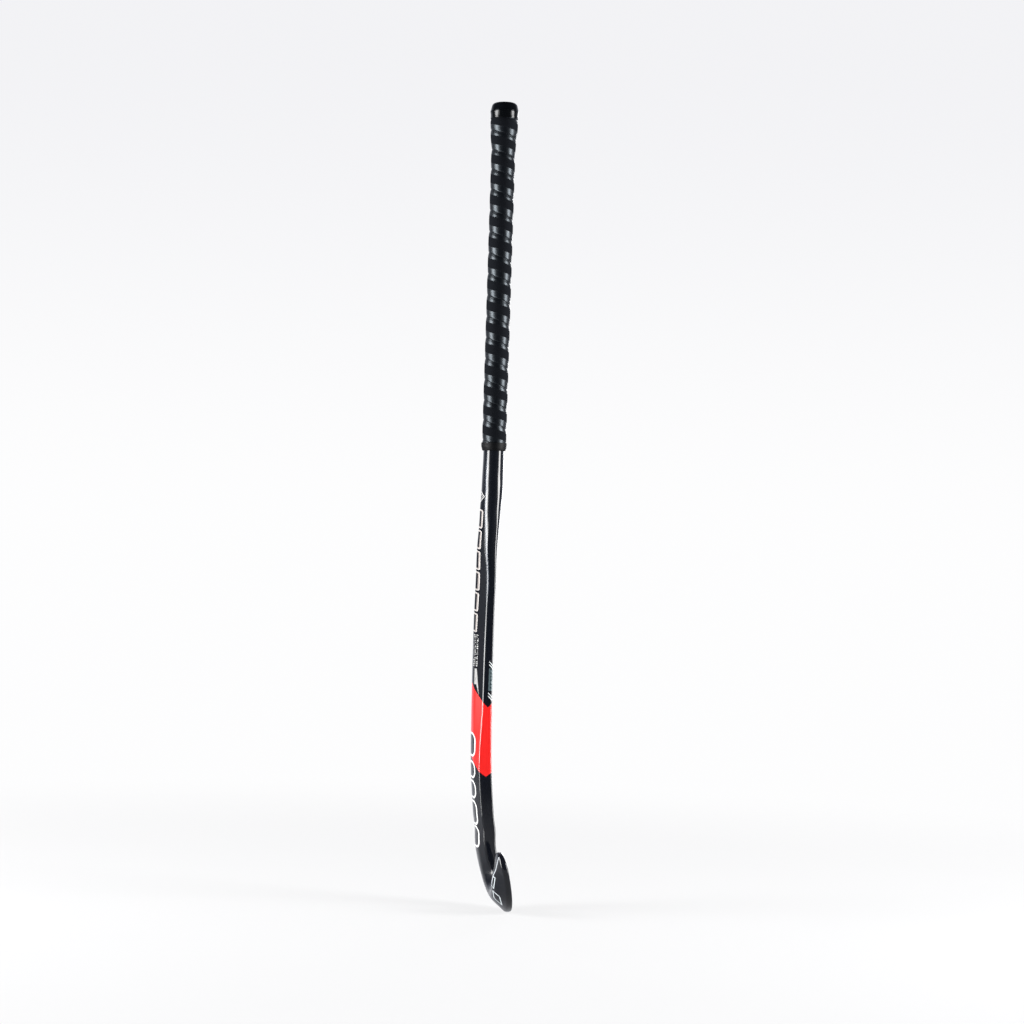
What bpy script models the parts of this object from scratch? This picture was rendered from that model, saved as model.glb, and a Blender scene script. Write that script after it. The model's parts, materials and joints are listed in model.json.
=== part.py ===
"""Field hockey stick: a hollow composite moulding with foam cores, a closed butt end and a wound grip.

Run it with: blender --background --python part.py
Frame: metres, +Z up towards the butt, the handle's axis parallel to Z. The playing face looks to +X
and the rounded back to -X. The hook turns from the heel (+Y) round to the toe (-Y).
The lowest point of the head is at z = 0.
"""

from math import cos, pi, radians, sin, sqrt

import bmesh
import bpy
from mathutils import Vector

# Driving dimensions
LENGTH = 0.927  # lowest point of the head to the top of the butt cap, a 36.5 inch stick
HEAD_REACH = 0.112  # heel to toe, across the hook
HOOK_RADIUS = 0.034  # centreline radius of the hook
HOOK_TURN = radians(163)  # how far the hook turns before the toe runs straight
TOE_RUN = 0.0285  # straight run from the end of the turn to the toe's tip
TOE_ROUND = 0.019  # length over which the toe is rounded off, seen from the face
WALL = 0.0031  # laminate thickness along the shaft
WALL_HEAD = 0.0045  # laminate thickness in the head
GAP = 0.0003  # clearance between neighbouring pieces

# Levels along the stick, as heights above the lowest point of the head
GRIP_BOTTOM = 0.5322
GRIP_TOP = 0.9128
SHELL_TOP = 0.9200
CORE_SPLIT = 0.1000  # where the head's core meets the shaft's core
SHAFT_CORE_TOP = 0.4600
FLARE_START = 0.8690
FLARE_END = 0.9000
COLLAR_BOTTOM = 0.8830

# Handle, grip and butt end
HANDLE_THICK = 0.0237  # face to back
HANDLE_WIDE = 0.0285  # heel side to toe side
GRIP_BUILD = 0.0016  # thickness of the cushioned grip strip
GRIP_PITCH = 0.0238
STRIP_EDGE = 0.0014  # how far the strip's edges are chamfered
FLARE = 0.0017  # how far the butt end flares beyond the handle
CAP_ROUND = 0.0060  # shoulder radius of the butt cap
CAP_CROWN = 0.0012  # rise of the cap's shallow dome above its shoulder
PLUG_DEPTH = 0.0300
PLUG_FLANGE = 0.0020
TAPE = 0.0005  # thickness of the finishing tapes
UPPER_TAPE_WIDTH = 0.0080
LOWER_TAPE_WIDTH = 0.0092
TAPE_STEP = 0.0063  # length over which the lower tape steps down to the bare shaft
SQUEEZE = 0.0006  # how much the upper tape thins the grip under it

# Resolution
SIDE_COUNT = 24  # points round a section and steps in a turn of the grip, 15 degrees apart

# The handle's and the hook's places, with the whole stick's box centred on X = 0 and Y = 0
HOOK_WIDTH = 0.0400  # width of the head at the bottom of the hook
SHAFT_WIDTH = 0.0460
HANDLE_X = -0.0060  # the handle's axis, which centres the bowed stick's box on X = 0
HOOK_CENTRE_Z = HOOK_RADIUS + HOOK_WIDTH / 2
SHAFT_Y = HEAD_REACH / 2 - SHAFT_WIDTH / 2
HOOK_CENTRE_Y = SHAFT_Y - HOOK_RADIUS
HOOK_TOP = 0.072  # height above which the centreline is straight and its rings lie further apart
TOE_TIP = HOOK_CENTRE_Z - HOOK_RADIUS * HOOK_TURN - TOE_RUN
CAVITY_END = TOE_TIP + 0.026  # where the hollow ends inside the toe

# The butt end's outside, as an offset from the bare handle, and the upper tape's top edge
BUTT_OFFSET = FLARE + 2 * GAP + GRIP_BUILD + 0.0002
TAPE_TOP = GRIP_TOP + GAP + 0.0029

# Stations as (developed height, value). The developed height is the height above the ground on the
# straight part, and goes on falling at the same rate round the hook to the toe's tip.
WIDTHS = [
    (TOE_TIP, 0.0360),
    (0.0, HOOK_WIDTH),
    (0.065, 0.0455),
    (0.160, SHAFT_WIDTH),
    (0.320, 0.0455),
    (0.430, 0.0370),
    (0.520, HANDLE_WIDE),
    (LENGTH, HANDLE_WIDE),
]
THICKNESSES = [
    (TOE_TIP, 0.0080),
    (-0.056, 0.0116),
    (-0.045, 0.0163),
    (-0.033, 0.0188),
    (0.0, 0.0200),
    (0.070, 0.0201),
    (0.360, 0.0200),
    (0.430, 0.0217),
    (0.485, 0.0246),
    (0.520, HANDLE_THICK),
    (LENGTH, HANDLE_THICK),
]
# Height of the flat side facet, from the face back to the crease where the back begins
SIDE_FACETS = [
    (TOE_TIP, 0.0074),
    (-0.045, 0.0062),
    (-0.020, 0.0068),
    (0.005, 0.0065),
    (0.060, 0.0130),
    (0.160, 0.0149),
    (0.240, 0.0101),
    (0.370, 0.0085),
    (0.417, 0.0115),
    (0.446, 0.0140),
    (0.492, 0.0172),
]
# How round the section is: 0 is the faceted D of the shaft, 1 the oval of the handle
ROUNDNESS = [(0.360, 0.0), (0.500, 1.0)]
# Half the width of the rounded crest along the middle of the back
CRESTS = [(-0.020, 0.0042), (0.060, 0.0075), (0.250, 0.0070), (0.400, 0.0045)]
TOE_DROP = 0.0015  # how far the face rolls back at the toe's tip
FACE_CORNER = 0.0022  # radius between the face and a side facet
CREASE_CUT = 0.0006  # how far the crease between a side and the back is cut off

# The playing face's line as (height, x): the bow is deepest about 0.3 m up, and the head is flat
FACE_PLANE_TOP = 0.060
FACE_SLOPE = 0.232  # how much the flat of the head leans forward for each metre of height
FACE_AT_GROUND = 0.0296
FACE_LINE = [
    (0.085, 0.0128),
    (0.110, 0.0098),
    (0.170, 0.0054),
    (0.240, 0.0037),
    (0.320, 0.0032),
    (0.400, 0.0048),
    (0.455, 0.0096),
    (0.485, 0.0121),
    (0.520, HANDLE_THICK / 2),
]


def curve_through(stations, at):
    """A smooth curve through (position, value) stations that doesn't overshoot them."""
    if at <= stations[0][0]:
        return stations[0][1]
    if at >= stations[-1][0]:
        return stations[-1][1]
    index = max(i for i, (place, _) in enumerate(stations) if place <= at)
    (x0, y0), (x1, y1) = stations[index], stations[index + 1]
    span = x1 - x0
    t = (at - x0) / span
    m0 = station_slope(stations, index) * span
    m1 = station_slope(stations, index + 1) * span
    start = (2 * t**3 - 3 * t**2 + 1) * y0 + (t**3 - 2 * t**2 + t) * m0
    end = (3 * t**2 - 2 * t**3) * y1 + (t**3 - t**2) * m1
    return start + end


def station_slope(stations, index):
    """The curve's slope at a station: level at the ends and at each peak or dip."""
    if index in (0, len(stations) - 1):
        return 0.0
    (x0, y0), (x1, y1), (x2, y2) = stations[index - 1 : index + 2]
    before = (y1 - y0) / (x1 - x0)
    after = (y2 - y1) / (x2 - x1)
    if before * after <= 0:
        return 0.0
    return 2 * before * after / (before + after)


def face_x(z):
    """How far the playing face stands in front of the handle's axis: a plane, then the bow."""
    if z <= FACE_PLANE_TOP:
        return FACE_AT_GROUND - FACE_SLOPE * z
    plane_top = FACE_AT_GROUND - FACE_SLOPE * FACE_PLANE_TOP
    first_z, first_x = FACE_LINE[0]
    if z >= first_z:
        return curve_through(FACE_LINE, z)
    span = first_z - FACE_PLANE_TOP
    t = (z - FACE_PLANE_TOP) / span
    lean = -FACE_SLOPE * span
    leave = (first_x - curve_through(FACE_LINE, first_z + 0.001)) / -0.001 * span
    start = (2 * t**3 - 3 * t**2 + 1) * plane_top + (t**3 - 2 * t**2 + t) * lean
    return start + (3 * t**2 - 2 * t**3) * first_x + (t**3 - t**2) * leave


def centreline(height):
    """A point (y, z) of the centreline and the unit direction (y, z) towards the outer side."""
    if height >= HOOK_CENTRE_Z:
        return (SHAFT_Y, height), (1.0, 0.0)
    turned = min((HOOK_CENTRE_Z - height) / HOOK_RADIUS, HOOK_TURN)
    outward = (cos(turned), -sin(turned))
    y = HOOK_CENTRE_Y + HOOK_RADIUS * outward[0]
    z = HOOK_CENTRE_Z + HOOK_RADIUS * outward[1]
    past = (HOOK_CENTRE_Z - height) - HOOK_RADIUS * turned
    return (y - sin(turned) * past, z - cos(turned) * past), outward


def d_outline(width, thick, side, crest):
    """Half of the faceted D: (depth behind the face, distance from the middle), face to back."""
    half = width / 2
    crest = min(crest, half * 0.4)
    corner = min(FACE_CORNER, thick * 0.3)
    shoulder = corner * (1 - sqrt(0.5))
    rise = thick - side
    run = half - crest
    points = [(0.0, 0.0), (0.0, half * 0.5), (0.0, half - corner)]
    points += [(shoulder, half - shoulder), (corner, half), ((corner + side) / 2, half)]
    points += [(side - CREASE_CUT, half), (side + CREASE_CUT, half - CREASE_CUT)]
    points += [(side + rise * part, half - run * part) for part in (0.36, 0.70)]
    points += [(side + rise * 0.90, crest * 1.2), (side + rise * 0.98, crest * 0.6)]
    points.append((thick, 0.0))
    return points


def oval_outline(width, thick):
    """Half of an oval, with its points at the same places in the list as the D's."""
    steps = SIDE_COUNT // 2
    angles = [pi * i / steps for i in range(steps + 1)]
    return [(thick / 2 * (1 - cos(a)), width / 2 * sin(a)) for a in angles]


def outline(height, inset):
    """The closed section at a developed height: (depth behind the face, distance outward)."""
    width = curve_through(WIDTHS, height)
    thick = curve_through(THICKNESSES, height)
    side = curve_through(SIDE_FACETS, height)
    roundness = curve_through(ROUNDNESS, height)
    share = max(TOE_TIP + TOE_ROUND - height, 0.0) / TOE_ROUND
    slim = sqrt(1 - share**2)
    width *= slim
    thick = side + (thick - side) * slim
    drop = TOE_DROP * share**3
    flat = d_outline(width, thick, side, curve_through(CRESTS, height))
    oval = oval_outline(width, thick)
    half = [
        (a[0] + (b[0] - a[0]) * roundness, a[1] + (b[1] - a[1]) * roundness)
        for a, b in zip(flat, oval)
    ]
    whole = half + [(depth, -out) for depth, out in reversed(half[1:-1])]
    keep_wide = 1 - 2 * inset / width
    keep_thick = (thick - drop - 2 * inset) / thick
    middle = (thick + drop) / 2
    return [(middle + (depth - thick / 2) * keep_thick, out * keep_wide) for depth, out in whole]


def section(height, inset=0.0):
    """The section's points in space, round the centreline at a developed height."""
    (y, z), (out_y, out_z) = centreline(height)
    points = []
    for depth, out in outline(height, inset):
        point_z = z + out_z * out
        x = HANDLE_X + face_x(point_z) - depth
        points.append(Vector((x, y + out_y * out, point_z)))
    return points


def spread(start, end, count):
    """Evenly spaced values from start to end, both included."""
    return [start + (end - start) * i / (count - 1) for i in range(count)]


def toe_heights(first, count):
    """Developed heights from the toe's tip upwards, closer together towards the tip."""
    end = first + TOE_ROUND
    return [end - (end - first) * cos(pi / 2 * i / count) for i in range(count)]


def add_ring(mesh, points):
    return [mesh.verts.new(point) for point in points]


def bridge(mesh, lower, upper):
    """Faces between two rings of equal count, facing out when the rings run anticlockwise."""
    count = len(lower)
    for i in range(count):
        j = (i + 1) % count
        mesh.faces.new((lower[i], lower[j], upper[j], upper[i]))


def loft(mesh, rings, close_start, close_end):
    """Joins rings of points into a skin and caps the ends asked for."""
    made = [add_ring(mesh, ring) for ring in rings]
    for lower, upper in zip(made, made[1:]):
        bridge(mesh, lower, upper)
    if close_start:
        mesh.faces.new(list(reversed(made[0])))
    if close_end:
        mesh.faces.new(made[-1])
    return made


def finish(mesh, name, material, collection):
    """Turns a bmesh into a named object with its faces out and its smooth parts shaded smooth."""
    bmesh.ops.recalc_face_normals(mesh, faces=mesh.faces)
    data = bpy.data.meshes.new(name)
    mesh.to_mesh(data)
    mesh.free()
    data.shade_smooth()
    data.set_sharp_from_angle(angle=radians(35))
    data.materials.append(material)
    made = bpy.data.objects.new(name, data)
    collection.objects.link(made)
    return made


def principled(name, colour, roughness, metallic=0.0):
    material = bpy.data.materials.new(name)
    material.use_nodes = True
    shader = material.node_tree.nodes["Principled BSDF"]
    shader.inputs["Base Color"].default_value = (*colour, 1.0)
    shader.inputs["Roughness"].default_value = roughness
    shader.inputs["Metallic"].default_value = metallic
    material.diffuse_color = (*colour, 1.0)
    return material


def body_heights():
    """Developed heights of the outer skin's rings, from the toe's tip to the open top."""
    toe = toe_heights(TOE_TIP + 0.0004, 7)
    hook = spread(TOE_TIP + TOE_ROUND + 0.0004, HOOK_TOP, 26)
    bow = spread(CORE_SPLIT, 0.340, 10)
    neck = spread(SHAFT_CORE_TOP - 0.090, 0.520, 6)
    return toe + hook + [0.085] + bow + neck + [0.700, SHELL_TOP]


def cavity_inset(height):
    """Laminate thickness at a developed height: thicker in the head than along the shaft."""
    return curve_through([(0.060, WALL_HEAD), (0.160, WALL)], height)


def cavity_rings(extra, first, last):
    """Sections of the hollow inside the laminate, shrunk by extra, between two heights."""
    inside = [h for h in body_heights() if first + 0.002 < h < last - 0.002]
    return [section(h, cavity_inset(h) + extra) for h in [first] + inside + [last]]


def build_shell(collection):
    """The moulding: shaft, hook and toe in one hollow laminate, open at the handle's end."""
    mesh = bmesh.new()
    outer = loft(mesh, [section(h) for h in body_heights()], True, False)
    inner = loft(mesh, cavity_rings(0.0, CAVITY_END, SHELL_TOP), True, False)
    bridge(mesh, outer[-1], inner[-1])
    paint = principled("stick_lacquer", (0.012, 0.014, 0.022), 0.12)
    return finish(mesh, "stick_shell", paint, collection)


def build_core(name, first, last, colour, collection):
    """A foam core that fills the hollow between two heights."""
    mesh = bmesh.new()
    loft(mesh, cavity_rings(GAP, first, last), True, True)
    return finish(mesh, name, principled(name + "_foam", colour, 0.9), collection)


def handle_ring(z, offset):
    """The handle's oval at a height, grown outward by an offset (or shrunk by a negative one)."""
    points = []
    for i in range(SIDE_COUNT):
        angle = 2 * pi * i / SIDE_COUNT
        across = HANDLE_THICK / 2 + offset
        along = HANDLE_WIDE / 2 + offset
        points.append(Vector((HANDLE_X + across * cos(angle), SHAFT_Y + along * sin(angle), z)))
    return points


def build_sleeve(name, profile, material, collection):
    """A closed ring round the handle from a profile of (height, offset from the handle)."""
    mesh = bmesh.new()
    rings = [add_ring(mesh, handle_ring(z, offset)) for z, offset in profile]
    for lower, upper in zip(rings, rings[1:] + rings[:1]):
        bridge(mesh, lower, upper)
    return finish(mesh, name, material, collection)


def build_turned_plug(name, profile, material, collection):
    """A closed plug or cap on the handle's axis, from a profile of (height, offset)."""
    mesh = bmesh.new()
    loft(mesh, [handle_ring(z, offset) for z, offset in profile], True, True)
    return finish(mesh, name, material, collection)


def grip_bed(z):
    """Offset of the surface that the grip is wound on: the bare handle, then the flare."""
    return curve_through([(FLARE_START, 0.0), (FLARE_END, GAP + FLARE)], z)


def grip_build(z):
    """Thickness of the grip strip at a height: the upper finishing tape squeezes its end."""
    tape_low = TAPE_TOP - UPPER_TAPE_WIDTH
    stations = [(tape_low - 0.006, GRIP_BUILD), (tape_low - 0.003, GRIP_BUILD - SQUEEZE)]
    return curve_through(stations, z)


def build_flare_collar(collection):
    """The tapered rubber collar that gives the butt end its flare under the grip."""
    steps = spread(COLLAR_BOTTOM, SHELL_TOP - 0.001, 6)
    outer = [(z, grip_bed(z)) for z in steps]
    inner = [(steps[-1], GAP), (steps[0], GAP)]
    rubber = principled("collar_rubber", (0.03, 0.03, 0.03), 0.8)
    return build_sleeve("flare_collar", outer + inner, rubber, collection)


def build_butt_plug(collection):
    """The moulded plug bonded into the open end, with a flange over the laminate's rim."""
    foot = SHELL_TOP - PLUG_DEPTH
    rim = SHELL_TOP + GAP
    inside = -(WALL + GAP)
    flange = -0.0006
    profile = [
        (foot, inside - 0.0012),
        (foot + 0.0015, inside),
        (rim, inside),
        (rim, flange),
        (rim + PLUG_FLANGE, flange),
    ]
    plastic = principled("plug_plastic", (0.10, 0.10, 0.11), 0.5)
    return build_turned_plug("butt_plug", profile, plastic, collection)


def build_butt_cap(collection):
    """The glossy cap: a shallow dome with a rounded shoulder and a short skirt over the collar."""
    outer = BUTT_OFFSET
    rebate = outer - TAPE - GAP
    lining = FLARE + 2 * GAP
    ceiling = SHELL_TOP + PLUG_FLANGE + 2 * GAP
    skirt_end = GRIP_TOP + GAP
    profile = [(ceiling, lining), (skirt_end, lining), (skirt_end, rebate)]
    profile += [(TAPE_TOP + GAP, rebate), (TAPE_TOP + GAP, outer)]
    shoulder = LENGTH - CAP_CROWN - CAP_ROUND
    for angle in spread(0.0, pi / 2, 5):
        profile.append((shoulder + CAP_ROUND * sin(angle), outer - CAP_ROUND * (1 - cos(angle))))
    profile.append((LENGTH, -HANDLE_THICK / 4))
    gloss = principled("cap_gloss", (0.008, 0.008, 0.009), 0.15)
    return build_turned_plug("butt_cap", profile, gloss, collection)


def strip_span(turn_angle):
    """The lower and upper edges of the grip strip at an angle, cut level at both ends."""
    middle = GRIP_TOP + GRIP_PITCH / 2 - GRIP_PITCH * turn_angle / (2 * pi)
    half = (GRIP_PITCH - GAP) / 2
    return max(middle - half, GRIP_BOTTOM), min(middle + half, GRIP_TOP)


def strip_point(angle, z, offset):
    """A point on the wound strip. The strip winds down to the right, as a left-handed helix."""
    across = HANDLE_THICK / 2 + offset
    along = HANDLE_WIDE / 2 + offset
    return Vector((HANDLE_X + across * cos(angle), SHAFT_Y + along * sin(angle), z))


def strip_ring(angle, low, high):
    """The strip's cut section at an angle: a trapezium with a middle point on the handle's side."""
    inset = min(STRIP_EDGE, (high - low) / 3)
    places = [(low, 0.0), (low + inset, grip_build(low + inset))]
    places += [(high - inset, grip_build(high - inset)), (high, 0.0), ((low + high) / 2, 0.0)]
    return [strip_point(angle, z, grip_bed(z) + GAP + build) for z, build in places]


def build_grip(collection):
    """The cushioned grip: one strip wound edge to edge down the handle, with chamfered edges."""
    turns = (GRIP_TOP - GRIP_BOTTOM) / GRIP_PITCH + 1
    steps = range(2, int(turns * SIDE_COUNT) - 1)
    angles = [2 * pi * step / SIDE_COUNT for step in steps]
    rings = [strip_ring(angle, *strip_span(angle)) for angle in angles]
    mesh = bmesh.new()
    loft(mesh, rings, True, True)
    cushion = principled("grip_polyurethane", (0.02, 0.02, 0.02), 0.55)
    return finish(mesh, "grip_tape", cushion, collection)


def build_upper_tape(collection):
    """The glossy finishing tape over the joint between the grip and the cap."""
    inner = BUTT_OFFSET - TAPE
    low = TAPE_TOP - UPPER_TAPE_WIDTH
    profile = [(low, inner), (low, BUTT_OFFSET), (TAPE_TOP, BUTT_OFFSET), (TAPE_TOP, inner)]
    gloss = principled("finishing_tape_gloss", (0.01, 0.01, 0.01), 0.2)
    return build_sleeve("upper_finishing_tape", profile, gloss, collection)


def build_lower_tape(collection):
    """The finishing tape that seals the grip's lower end and steps down on to the bare shaft."""
    on_grip = GAP + GRIP_BUILD + GAP
    step = GRIP_BOTTOM - GAP
    low = step - TAPE_STEP
    top = low + LOWER_TAPE_WIDTH
    outside = [(low, GAP + TAPE * 0.6), (low + TAPE_STEP * 0.3, GAP + TAPE * 1.6)]
    outside += [(low + TAPE_STEP * 0.75, on_grip + TAPE * 0.4), (step, on_grip + TAPE)]
    outside.append((top, on_grip + TAPE))
    inside = [(top, on_grip), (step, on_grip), (step - TAPE_STEP * 0.2, GAP), (low, GAP)]
    vinyl = principled("finishing_tape_vinyl", (0.015, 0.015, 0.015), 0.4)
    return build_sleeve("lower_finishing_tape", outside + inside, vinyl, collection)


def main():
    for item in list(bpy.data.objects):
        bpy.data.objects.remove(item, do_unlink=True)
    collection = bpy.data.collections.new("field_hockey_stick")
    bpy.context.scene.collection.children.link(collection)
    build_shell(collection)
    head_foam = (0.75, 0.65, 0.40)
    shaft_foam = (0.80, 0.78, 0.70)
    build_core("head_core", CAVITY_END + GAP, CORE_SPLIT - GAP / 2, head_foam, collection)
    build_core("shaft_core", CORE_SPLIT + GAP / 2, SHAFT_CORE_TOP, shaft_foam, collection)
    build_butt_plug(collection)
    build_flare_collar(collection)
    build_butt_cap(collection)
    build_grip(collection)
    build_upper_tape(collection)
    build_lower_tape(collection)


main()
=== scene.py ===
import json
from math import acos, cos, hypot, pi, radians, sin, tan

import bmesh
import bpy
from mathutils import Matrix, Vector, noise

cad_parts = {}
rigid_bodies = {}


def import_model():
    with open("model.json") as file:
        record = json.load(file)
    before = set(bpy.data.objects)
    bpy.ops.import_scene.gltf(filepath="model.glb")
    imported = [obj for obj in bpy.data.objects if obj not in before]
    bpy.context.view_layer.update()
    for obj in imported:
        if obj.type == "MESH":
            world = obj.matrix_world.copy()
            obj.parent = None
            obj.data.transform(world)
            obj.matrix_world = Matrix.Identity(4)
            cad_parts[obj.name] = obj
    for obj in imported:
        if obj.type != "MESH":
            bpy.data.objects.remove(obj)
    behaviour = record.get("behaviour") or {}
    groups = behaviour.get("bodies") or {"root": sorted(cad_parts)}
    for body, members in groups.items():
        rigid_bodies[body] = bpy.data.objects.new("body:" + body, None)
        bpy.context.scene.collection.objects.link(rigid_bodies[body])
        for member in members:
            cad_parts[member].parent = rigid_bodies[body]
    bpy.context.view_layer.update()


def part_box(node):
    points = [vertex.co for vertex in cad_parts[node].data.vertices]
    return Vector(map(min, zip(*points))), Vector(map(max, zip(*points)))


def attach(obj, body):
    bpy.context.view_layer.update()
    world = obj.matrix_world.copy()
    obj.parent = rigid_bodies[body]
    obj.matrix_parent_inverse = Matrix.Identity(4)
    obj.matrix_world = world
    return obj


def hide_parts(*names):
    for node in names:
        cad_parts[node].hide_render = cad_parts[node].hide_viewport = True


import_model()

# Places read from the CAD frame
PLUG_LOW, PLUG_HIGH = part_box("butt_plug")
AXIS_X = (PLUG_LOW.x + PLUG_HIGH.x) / 2  # the handle's axis
AXIS_Y = (PLUG_LOW.y + PLUG_HIGH.y) / 2
SHELL_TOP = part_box("stick_shell")[1].z
GRIP_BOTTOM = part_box("grip_tape")[0].z
GRIP_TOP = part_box("grip_tape")[1].z
CAP_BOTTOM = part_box("butt_cap")[0].z
CAP_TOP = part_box("butt_cap")[1].z
BAND_LOW, BAND_HIGH = (corner.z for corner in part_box("upper_finishing_tape"))
SEAL_LOW, SEAL_HIGH = (corner.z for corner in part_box("lower_finishing_tape"))

# The moulding's dimensions, in metres
HOOK_RADIUS = 0.034  # of the centreline
HOOK_TURN = radians(163)
HOOK_WIDTH = 0.0400
SHAFT_WIDTH = 0.0460
TOE_RUN = 0.0285  # straight length past the hook's turn, to the tip
TOE_ROUND = 0.019  # length of the toe's rounded end
TOE_DROP = 0.0015  # how far the playing face falls back at the tip
WALL = 0.0031  # in the shaft
WALL_HEAD = 0.0045
GAP = 0.0003  # the bond between two pieces
HANDLE_THICK = 0.0237
HANDLE_WIDE = 0.0285
FACE_CORNER = 0.0022
FLAT_SHARE = 0.70  # how much of the back facet is flat before it curves into the crest
# Steps along half a section: the face, its corner, the side, the crease, the back facet, the crest
FACE_STEPS, CORNER_STEPS, SIDE_STEPS, CREASE_STEPS, FACET_STEPS, CREST_STEPS = 10, 7, 6, 8, 8, 12
SIDE_FIRST = FACE_STEPS + CORNER_STEPS
SIDE_LAST = SIDE_FIRST + SIDE_STEPS
CREASE_MIDDLE = SIDE_LAST + CREASE_STEPS // 2
HOOK_CENTRE_Z = HOOK_RADIUS + HOOK_WIDTH / 2
HOOK_CENTRE_Y = AXIS_Y - HOOK_RADIUS
TOE_TIP = HOOK_CENTRE_Z - HOOK_RADIUS * HOOK_TURN - TOE_RUN
TOE_CENTRE = TOE_TIP + TOE_ROUND
CAVITY_END = TOE_TIP + 0.026  # where the hollow inside ends
TOE_FANS = 56  # steps of the fan round the toe's end

# Stations as (developed height, value): the height goes on falling evenly round the hook
WIDTHS = [
    (TOE_TIP, 0.0360),
    (0.0, HOOK_WIDTH),
    (0.065, 0.0455),
    (0.160, SHAFT_WIDTH),
    (0.320, 0.0455),
    (0.430, 0.0370),
    (0.520, HANDLE_WIDE),
    (CAP_TOP, HANDLE_WIDE),
]
THICKNESSES = [
    (TOE_TIP, 0.0080),
    (-0.056, 0.0116),
    (-0.045, 0.0163),
    (-0.033, 0.0188),
    (0.0, 0.0200),
    (0.070, 0.0201),
    (0.360, 0.0200),
    (0.430, 0.0217),
    (0.485, 0.0246),
    (0.520, HANDLE_THICK),
    (CAP_TOP, HANDLE_THICK),
]
SIDE_FACETS = [  # how far back the side reaches from the playing face
    (TOE_TIP, 0.0074),
    (-0.045, 0.0062),
    (-0.020, 0.0068),
    (0.005, 0.0065),
    (0.060, 0.0130),
    (0.160, 0.0149),
    (0.240, 0.0101),
    (0.370, 0.0085),
    (0.417, 0.0115),
    (0.446, 0.0140),
    (0.492, 0.0172),
]
ROUNDNESS = [(0.360, 0.0), (0.500, 1.0)]  # 0 is the faceted section, 1 the handle's oval
# Half the width of the back's crest
CRESTS = [(-0.020, 0.0042), (0.060, 0.0075), (0.250, 0.0070), (0.400, 0.0045)]
CREASE_RADII = [  # of the rounded crease between the side and the back facet
    (-0.010, 0.0034),
    (0.040, 0.0030),
    (0.120, 0.0028),
    (0.230, 0.0042),
    (0.310, 0.0058),
    (0.380, 0.0058),
    (0.440, 0.0066),
    (0.500, 0.0080),
]

# The playing face's line as (height, x from the handle's axis)
FACE_PLANE_TOP = 0.060
FACE_SLOPE = 0.232
FACE_AT_GROUND = 0.0296
FACE_LINE = [
    (0.085, 0.0128),
    (0.110, 0.0098),
    (0.170, 0.0054),
    (0.240, 0.0037),
    (0.320, 0.0032),
    (0.400, 0.0048),
    (0.455, 0.0096),
    (0.485, 0.0121),
    (0.520, HANDLE_THICK / 2),
]

# The grip: its turns lie closer together towards both ends, as wound by hand
PITCHES = [(1.0, 0.0222), (3.6, 0.0228), (5.2, 0.0244), (13.0, 0.0244), (14.8, 0.0228)]
PITCH_ANCHOR = (3.654, 0.8463)  # a turn number and the height of the strip's upper edge there
FLARE_START = 0.8690
FLARE_END = 0.9000
FLARE = 0.0017  # how far the collar lifts the top of the grip
GRIP_STEPS = 120  # steps in a turn
TURN_GAP = 0.0001  # between the edges of two turns
STRIP_LEAST = 0.0015  # a narrower sliver of strip isn't built
STRIP_THINNEST = 0.0005
STRIP_CUT = 0.0009  # thickness where the grip's two ends cut across the strip
STRIP_PRESSED = 0.0008  # how much the upper tape presses out of the strip
# Strip thickness across its lane, from its lower edge (0) to its upper edge (1)
STRIP_PROFILE = [
    (0.000, 0.00056),
    (0.010, 0.00078),
    (0.025, 0.00100),
    (0.055, 0.00120),
    (0.180, 0.00142),
    (0.315, 0.00158),
    (0.335, 0.00168),
    (0.545, 0.00174),
    (0.755, 0.00168),
    (0.775, 0.00158),
    (0.880, 0.00132),
    (0.980, 0.00068),
    (1.000, 0.00056),
]
MATTE_LANE = (0.325, 0.765)  # the strip's raised, fine-grained middle

# The cap and the tapes
CAP_ROUND = 0.0048  # the cap's rounded corner
CAP_WALL = 0.0018
CAP_SKIRT = 0.0010  # wall of the skirt that the upper tape covers
CAP_ROOM = 0.0026  # from the top of the moulding to the cap's ceiling
CAP_LEAN = radians(13)
CAP_CROWN = 0.0006  # how far the dome rises over its rounded corner
CAP_STEPS = 128  # steps round the cap
TAPE_STEPS = 160  # steps round a finishing tape
BAND_BUILD = 0.0005  # thickness of the upper tape
SEAL_ROOM = 0.0019  # for the strip under the upper part of the lower tape


def curve_through(stations, at):
    """A smooth curve through (position, value) stations that doesn't overshoot them."""
    if at <= stations[0][0]:
        return stations[0][1]
    if at >= stations[-1][0]:
        return stations[-1][1]
    index = max(i for i, (place, _) in enumerate(stations) if place <= at)
    (x0, y0), (x1, y1) = stations[index], stations[index + 1]
    span = x1 - x0
    t = (at - x0) / span
    m0 = station_slope(stations, index) * span
    m1 = station_slope(stations, index + 1) * span
    start = (2 * t**3 - 3 * t**2 + 1) * y0 + (t**3 - 2 * t**2 + t) * m0
    end = (3 * t**2 - 2 * t**3) * y1 + (t**3 - t**2) * m1
    return start + end


def station_slope(stations, index):
    """The curve's slope at a station: level at the ends and at each peak or dip."""
    if index in (0, len(stations) - 1):
        return 0.0
    (x0, y0), (x1, y1), (x2, y2) = stations[index - 1 : index + 2]
    before = (y1 - y0) / (x1 - x0)
    after = (y2 - y1) / (x2 - x1)
    if before * after <= 0:
        return 0.0
    return 2 * before * after / (before + after)


def straight_through(stations, at):
    """Straight lines through (position, value) stations."""
    for (x0, y0), (x1, y1) in zip(stations, stations[1:]):
        if at <= x1:
            return y0 + (y1 - y0) * max(at - x0, 0.0) / (x1 - x0)
    return stations[-1][1]


def spread(start, end, count):
    """Evenly spaced values from start to end, both included."""
    return [start + (end - start) * i / (count - 1) for i in range(count)]


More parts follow.
